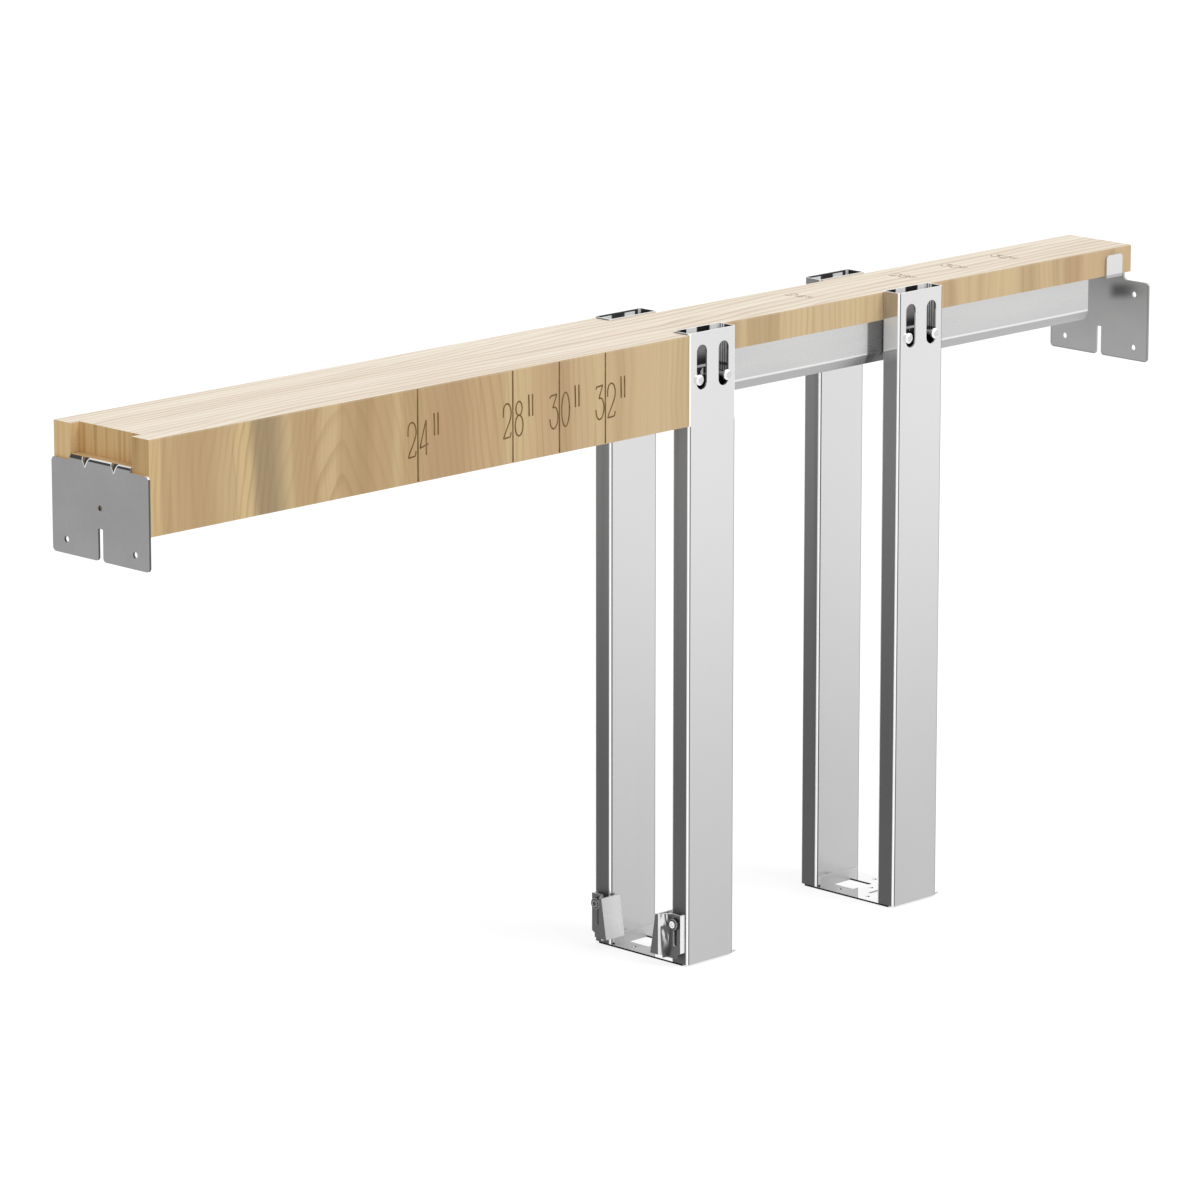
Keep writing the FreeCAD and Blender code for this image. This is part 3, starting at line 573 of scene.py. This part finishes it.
# A painted glint on the plate's upper corner.
corner_glint = rise.between(0.3, 0.5) * (1 - on_fold) * (-across).between(0.040, 0.042)
zinc.paint(corner_glint, shade(253, 253, 253))
notch_depth = 0.0064
notch_half = 0.0036
notch_middles = (0.0140, -0.0130)
climb = height - (fold_top - notch_depth)
pressed = climb.between(-0.0004, 0.0) * (1 - rise.between(0.88, 0.95))
for middle in notch_middles:
    into = climb - abs((across - middle) * (notch_depth / notch_half))
    rear_arm = (across - middle).between(-0.0002, 0.0006)
    inside = (into - rear_arm * 0.0006).between(-0.0014, -0.0006) * pressed
    # Each V's edges are painted white as highlights, and its front arm dark as shade.
    hollow = zinc.mix(rear_arm, shade(34, 34, 36), shade(120, 104, 80))
    zinc.paint(inside, zinc.mix(into.between(0.0002, 0.0009), shade(253, 253, 253), hollow))
dress("left_end_bracket", zinc.sheet())

# Split studs.
# Roll-formed galvanised steel, closed and bright, standing in pairs with the door's pocket
# between them. The corners carry painted highlights, and the narrow faces towards the doorway
# are painted dark as shade.


def rolled_steel(name, low, high, bright_from, dark_line_top, lift, slot_top):
    """Bright galvanised steel: upright roller streaks, painted highlights on the corners, darker
    towards the feet.

    Low and high are the corners of the front stud. Its doorway side is painted dark as shade,
    below a painted reflection of the track, whose fold is a bright line from the height
    bright_from up towards the front; above that it mirrors the board. The painted dark line beside
    each corner stops at the height given as its top. Lift raises the painted light and shade
    inside, and up to slot_top the front stud is painted bright behind the slot of the door guide,
    as light seen through it.
    """
    steel = Finish(name)
    point = steel.place()
    length, place, height = (steel.along(point, axis) for axis in "XYZ")
    depth = abs(place)
    normal = steel.node("NewGeometry", output="Normal")
    across, toward, upward = (steel.along(normal, axis) for axis in "XYZ")
    front = abs(toward)
    upright = 1 - abs(upward).between(0.3, 0.6)
    streaks = steel.noise((300.0, 300.0, 1.5), detail=2.0)
    cloud = steel.noise((22.0, 22.0, 5.0), detail=2.0)
    # The steel is painted darker towards the foot.
    steel.colour = steel.mix(
        height.between(-0.02, 0.42), shade(188, 188, 188), shade(222, 222, 222)
    )
    steel.paint(cloud.between(0.35, 0.65) * 0.10, shade(206, 206, 208))

    # The narrow side towards the doorway is painted dark as shade, up to a painted reflection of
    # the track.
    shaded_side = steel.mix(height.between(0.10, 0.45), shade(91, 91, 91), shade(141, 141, 141))
    shaded_side = steel.mix(streaks.between(0.5, 0.8) * 0.35, shaded_side, shade(84, 84, 84))
    facing = (-across).between(0.80, 0.995)
    before = 1 - place.between(-0.001, 0.0)
    skew = (depth + high[1]) * 0.30
    above = height - bright_from - skew
    # Below the bright line lies a painted glow of the reflected track.
    track_glow = above.between(-0.0100, -0.0004) * before
    shaded_side = steel.mix(track_glow * 0.85, shaded_side, shade(196, 196, 196))
    # Behind the guide's slot the side is painted white, as light seen through the slot.
    slot_light = height.window(0.0130, 0.0134, slot_top, slot_top + 0.0004)
    slot_light = slot_light * (1 - abs(place - guide_slot).between(0.0019, 0.0022))
    shaded_side = steel.mix(slot_light, shaded_side, shade(255, 255, 255))
    # Above the line the track's bright side and fold are a painted reflection; over the board the
    # steel mirrors it for real, tinted grey.
    off_line = abs(above).between(0.0006, 0.0012)
    painted_mirror = steel.mix(off_line, shade(255, 255, 255), shade(240, 240, 240))
    timbered = (height - board_low[2] - skew).between(0.0, 0.0008) * before
    painted_mirror = steel.mix(timbered, painted_mirror, shade(198, 196, 196))
    bright = above.between(-0.0006, 0.0) * before
    steel.paint(facing, steel.mix(bright, shaded_side, painted_mirror))

    # Painted highlights on the corners, each with a painted dark line beside it, and bright cut
    # rims, of which the rear stud's far one is dark.
    corner = (1 - front.between(0.965, 0.998)) * (1 - abs(across).between(0.965, 0.998)) * upright
    steel.paint(corner, shade(252, 252, 252))
    corner_dark_line = front.window(0.80, 0.90, 0.975, 0.998) * upright
    corner_dark_line = corner_dark_line * (1 - height.between(dark_line_top - 0.0006, dark_line_top))
    corner_dark_line = corner_dark_line * (1 - bright * toward.between(0.0, 0.1))
    steel.paint(corner_dark_line, shade(100, 100, 102))
    rim = steel.mix(place.between(0.0425, 0.0432), shade(252, 252, 252), shade(16, 16, 16))
    steel.paint(upward.between(0.5, 0.9), rim)

    # The bare inside is painted with the light and shade seen in it: black below as shade, a light
    # line behind the slots, painted streaks of reflection on the side walls and patches of light at
    # the top. The marks lie by their distance down from the rim.
    within = depth.window(0.0294, 0.0298, 0.0432, 0.0436) * upright
    within = within * length.window(
        low[0] + 0.0006, low[0] + 0.0010, high[0] - 0.0010, high[0] - 0.0006
    )
    down = high[2] - height
    lower = down + lift
    lowest = lower + lift
    glint_pitch = 0.0021
    beat = steel.node("Math", {"operation": "SINE"}, {0: depth * (2 * np.pi / glint_pitch)})
    wall_glints = beat + steel.noise((300.0, 700.0, 5.0), detail=1.0) * 1.6 - 0.3
    wall = steel.mix(wall_glints.between(-0.30, 0.30), shade(78, 78, 78), shade(255, 255, 255))
    wall = steel.mix(depth.between(0.0372, 0.0382), wall, shade(74, 74, 74))
    wall_shade = lowest.window(0.0292, 0.0300, 0.0314, 0.0322) * 0.8 + lowest.between(0.0352, 0.0358)
    wall = steel.mix(wall_shade, wall, shade(8, 8, 8))
    back = steel.mix(lower.between(0.0180, 0.0255), shade(176, 176, 176), shade(40, 40, 40))
    light_band = lower.window(0.0276, 0.0281, 0.0292, 0.0298)
    back = steel.mix(light_band, back, shade(255, 255, 255))
    back = steel.mix(lower.between(0.0298, 0.0302), back, shade(14, 14, 14))
    glint_specks = steel.noise((420.0, 420.0, 110.0), detail=1.0).between(0.56, 0.60)
    glint_specks = glint_specks * lower.window(0.0300, 0.0306, 0.0345, 0.0352)
    back = steel.mix(glint_specks, back, shade(255, 255, 255))
    # The painted patches of light lie 6.5 mm nearer the doorway on the rear studs, under a painted
    # dark edge.
    behind = place.between(-0.001, 0.001)
    spot = length - low[0] + behind * 0.0065
    painted_patch = spot.window(0.0115, 0.0125, 0.0210, 0.0225)
    painted_patch = painted_patch + spot.between(0.0335, 0.0350) * (1 - spot.between(0.0435, 0.0445) * behind)
    painted_patch = painted_patch * (1 - behind * (1 - down.between(0.0008, 0.0012)))
    mouth = steel.mix(painted_patch, shade(10, 10, 10), shade(255, 255, 255))
    shaded = steel.mix(depth.between(0.0346, 0.0356), wall, shade(10, 10, 10))
    shaded = steel.mix(behind, shaded, shade(10, 10, 10))
    below_mouth = down.between(0.0055, 0.0062)
    wall = steel.mix(below_mouth, shaded, wall)
    back = steel.mix(below_mouth, mouth, back)
    # The last few millimetres of the back wall are painted light.
    far_end = length.between(high[0] - 0.0044, high[0] - 0.0038)
    far_end = far_end * (1 - lower.between(0.0290, 0.0296))
    back = steel.mix(far_end, back, shade(235, 235, 235))
    steel.paint(within, steel.mix((-toward).between(0.5, 0.9), wall, back))

    dull = facing * (1 - timbered) * (1 - within)
    return steel.surface(
        Base_Color=steel.colour,
        Metallic=0.92 - dull * 0.60 - within * 0.82 - dull * bright * 0.30,
        Roughness=streaks.between(0.3, 0.7, 0.13, 0.19) + within * 0.30 + dull * 0.30,
        Normal=steel.bump(streaks, 0.00005, 0.04),
    )


bolt_low, bolt_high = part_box("front_guide_bolt")
guide_slot = 0.5 * (bolt_low[1] + bolt_high[1])
bolt_height = 0.5 * (bolt_low[2] + bolt_high[2])
# A mark that starts above the whole frame, or ends below it, isn't there.
above_all, below_all = 0.60, -0.60
studs = {
    "opening": {
        "bright_from": above_all,
        "dark_line_top": nailer_low[2],
        "lift": 0.0018,
        "slot_top": bolt_height,
    },
    "pocket": {
        "bright_from": fold,
        "dark_line_top": above_all,
        "lift": 0.0,
        "slot_top": below_all,
    },
}
for pair, marks in studs.items():
    tube = rolled_steel(pair + "_stud_steel", *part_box(pair + "_stud_front"), **marks)
    dress(pair + "_stud_front", tube)
    dress(pair + "_stud_rear", tube)

# Screws and bolts.
# Zinc plated pan heads in the studs' slots. The door guides' bolts have round sockets, and
# their heads carry a painted dark reflection of the fold around them.
plated = Finish("zinc_plate")
turned = plated.noise((900.0, 900.0, 900.0), detail=2.0)
# The heads' flat faces are painted brighter than their sides, as faces lit from the front.
flat = abs(plated.along(plated.node("NewGeometry", output="Normal"), "Y")).between(0.97, 0.995)
plated.colour = plated.mix(flat, shade(252, 252, 252), shade(212, 212, 213))
plated.paint(turned.between(0.3, 0.7) * 0.2, shade(214, 214, 218))
bright_zinc = plated.surface(
    Base_Color=plated.colour,
    Metallic=0.75,
    Roughness=turned.between(0.3, 0.7, 0.18, 0.28),
    Normal=plated.bump(turned, 0.00003, 0.1),
)

# A socket's floor is painted bright on the front bolt, as light, and grey on the rear one, as
# shade. Round it lies a painted dark ring of reflection with a pale rim painted as a highlight.
socket = Finish("bolt_zinc")
point = socket.place()
place = socket.along(point, "Y")
aside = abs(place) + guide_slot
above = socket.along(point, "Z") - bolt_height
radius = socket.node("Math", {"operation": "SQRT"}, {0: aside * aside + above * above})
grain = socket.noise((700.0, 700.0, 700.0), detail=2.0)
rim = radius.window(0.0034, 0.0037, 0.0038, 0.0040)
ring_colour = socket.mix(rim * 0.6, shade(56, 56, 57), shade(200, 200, 202))
ring_colour = socket.mix(grain.between(0.52, 0.60) * 0.5, ring_colour, shade(120, 120, 122))
socket.colour = socket.mix(
    place.between(-0.001, 0.001), shade(253, 253, 253), shade(150, 150, 152)
)
socket.paint(radius.between(0.0023, 0.0026), ring_colour)
bolt_zinc = socket.surface(
    Base_Color=socket.colour,
    Metallic=0.75,
    Roughness=grain.between(0.3, 0.7, 0.15, 0.25),
    Normal=socket.bump(grain, 0.00003, 0.1),
)
for node in nodes:
    if "_screw_" in node:
        dress(node, bright_zinc)
    if "_bolt" in node:
        dress(node, bolt_zinc)

# Base plates.
# Bright pressed plates screwed to the floor, as clear as a mirror, with a window in each half
# and drilled screw holes. Their cut edges are dark.
mirror = Finish("bright_plate")
wipe = mirror.noise((60.0, 60.0, 60.0), detail=2.0)
normal = mirror.node("NewGeometry", output="Normal")
sideways = mirror.along(normal, "X")
toward = -mirror.along(normal, "Y")
front_edge = sideways.between(0.3, 0.5) * toward.between(0.3, 0.5)
cut_edge = (-sideways).between(0.70, 0.85) + front_edge
cut_edge = cut_edge * (1 - mirror.along(mirror.place(), "Z").between(0.0018, 0.0022))
upstand = abs(toward).between(0.97, 0.99)
mirror.colour = mirror.mix(wipe.between(0.3, 0.7), shade(250, 250, 250), shade(244, 244, 244))
mirror.paint(upstand, shade(200, 200, 200))
mirror.paint(cut_edge, shade(30, 30, 31))
bright_plate = mirror.surface(
    Base_Color=mirror.colour,
    Metallic=1.0 - upstand * 0.5,
    Roughness=wipe.between(0.3, 0.7, 0.015, 0.03) + upstand * 0.4,
    Normal=mirror.bump(wipe, 0.00002, 0.02),
)
dress("opening_base_plate", bright_plate)
dress("pocket_base_plate", bright_plate)

# Door guides.
# Bright folded sheet steel at the foot of the first studs, each held by one bolt in an upright
# slot. The web and the nose, which face the doorway, are painted dark as shade; the pad and the
# return are painted bright as lit faces.
folded = Finish("guide_steel")
point = folded.place()
place, height = folded.along(point, "Y"), folded.along(point, "Z")
normal = folded.node("NewGeometry", output="Normal")
back_face = (-folded.along(normal, "X")).between(0.80, 0.98)
lit = (-folded.along(normal, "Y")).between(0.4, 0.6)
rub = folded.noise((160.0, 160.0, 40.0), detail=3.0)
folded.colour = folded.mix(rub.between(0.3, 0.7), shade(224, 224, 224), shade(216, 216, 217))
# Faces towards the front are painted paler, as lit faces.
folded.paint(lit, shade(241, 241, 241))
# In the notch those faces are painted dark as shade.
notch_in_shade = place.window(-0.0414, -0.0410, -0.0385, -0.0381)
folded.paint(lit * notch_in_shade, shade(80, 80, 81))
# The front guide's slanting side carries a painted wavy reflection of the stud, and is painted
# darker towards its foot.
slant = lit * place.window(-0.0350, -0.0345, -0.0293, -0.0289) * (1 - back_face)
ripple = folded.noise((120.0, 620.0, 60.0), detail=1.0, distortion=1.0)
wavy_reflection = folded.mix(ripple.between(0.43, 0.54), shade(98, 98, 98), shade(240, 240, 240))
wavy_reflection = folded.mix(height.between(0.010, 0.022), shade(96, 96, 96), wavy_reflection)
folded.paint(slant, wavy_reflection)
# Faces towards the doorway are painted dark as shade.
folded.paint(back_face, shade(98, 98, 99))
# Inside the bolt's slot the walls are painted white, as light seen through it.
in_slot = (1 - abs(place - guide_slot).between(0.0019, 0.0020)) * height.between(0.0120, 0.0130)
folded.paint(in_slot * (1 - back_face), shade(253, 253, 253))
guide_steel = folded.surface(
    Base_Color=folded.colour,
    Metallic=0.45,
    Roughness=rub.between(0.3, 0.7, 0.18, 0.28),
    Normal=folded.bump(rub, 0.00006, 0.06),
)
dress("front_door_guide", guide_steel)
dress("rear_door_guide", guide_steel)

# Floor, light and camera.
# A pale studio: a white floor that keeps a faint shadow, a soft key from the front and above,
# and a weak fill from the room all round.


def seen_directly(finish):
    """1 for rays that show the background: from the camera, off gloss and through glass."""
    rays = [
        finish.node("LightPath", output=name)
        for name in ("Is Camera Ray", "Is Glossy Ray", "Is Transmission Ray")
    ]
    return (rays[0] + rays[1] + rays[2]).between(0.0, 1.0)


reach = 30.0
floor_height = -0.0002
count = 5
span = np.linspace(-reach, reach, count)
grid_x, grid_y = np.meshgrid(span, span, indexing="ij")
floor_points = np.stack([grid_x, grid_y, np.full_like(grid_x, floor_height)], axis=-1)
index = np.arange(count * count).reshape(count, count)
floor_quads = np.stack([index[:-1, :-1], index[1:, :-1], index[1:, 1:], index[:-1, 1:]], axis=-1)
floor_mesh = bpy.data.meshes.new("studio_floor")
floor_mesh.from_pydata(
    floor_points.reshape(-1, 3).tolist(), [], floor_quads.reshape(-1, 4).tolist()
)
floor = bpy.data.objects.new("studio_floor", floor_mesh)
bpy.context.scene.collection.objects.link(floor)
white = Finish("studio_white")
matt = white.node("BsdfDiffuse", inputs={"Color": (0.26, 0.26, 0.26, 1.0)})
shown = seen_directly(white) * 0.45 + 0.35
glow = white.node("Emission", inputs={"Color": (1.0, 1.0, 1.0, 1.0), "Strength": shown})
both = white.node("AddShader", inputs={0: matt, 1: glow})
white.node("OutputMaterial", inputs={"Surface": both})
floor.data.materials.append(white.material)


class Sky(Finish):
    """The studio's world, with the same kinds of node as a finish."""

    def __init__(self, name):
        self.world = bpy.data.worlds.new(name)
        self.world.use_nodes = True
        self.tree = self.world.node_tree
        self.tree.nodes.clear()


sky = Sky("studio_room")
room = sky.node("Background", inputs={"Color": (1.0, 1.0, 1.0, 1.0), "Strength": 0.68})
backdrop = sky.node("Background", inputs={"Color": (1.0, 1.0, 1.0, 1.0), "Strength": 1.0})
shown = sky.node("MixShader", inputs={0: seen_directly(sky), 1: room, 2: backdrop})
sky.node("OutputWorld", inputs={"Surface": shown})
bpy.context.scene.world = sky.world


def aim(position, forward):
    """A matrix at a position whose -Z looks along forward, with its Y as upright as it can be."""
    forward = np.asarray(forward, float) / np.linalg.norm(forward)
    right = np.cross(forward, (0.0, 0.0, 1.0))
    right /= np.linalg.norm(right)
    up = np.cross(right, forward)
    matrix = np.eye(4)
    matrix[:3, 0], matrix[:3, 1], matrix[:3, 2], matrix[:3, 3] = right, up, -forward, position
    return Matrix(matrix.tolist())


key_data = bpy.data.lights.new("key", "SUN")
key_data.energy = 1.47
key_data.angle = np.radians(35.0)
key = bpy.data.objects.new("key", key_data)
bpy.context.scene.collection.objects.link(key)
key_distance = 4.0
key_from = np.array([0.20, -0.60, 0.77])
key_from /= np.linalg.norm(key_from)
key.matrix_world = aim(key_from * key_distance, -key_from)

camera_data = bpy.data.cameras.new("camera")
camera_data.sensor_width = 36.0
camera_data.lens = 200.54
camera_data.clip_end = 200.0
camera = bpy.data.objects.new("camera", camera_data)
bpy.context.scene.collection.objects.link(camera)
camera_at = (-3.1125, -3.0674, 1.2723)
bearing, dip = np.radians(45.096), np.radians(13.187)
look = (np.sin(bearing) * np.cos(dip), np.cos(bearing) * np.cos(dip), -np.sin(dip))
camera.matrix_world = aim(camera_at, look)
bpy.context.scene.camera = camera

settings = bpy.context.scene.view_settings
settings.view_transform = "Standard"
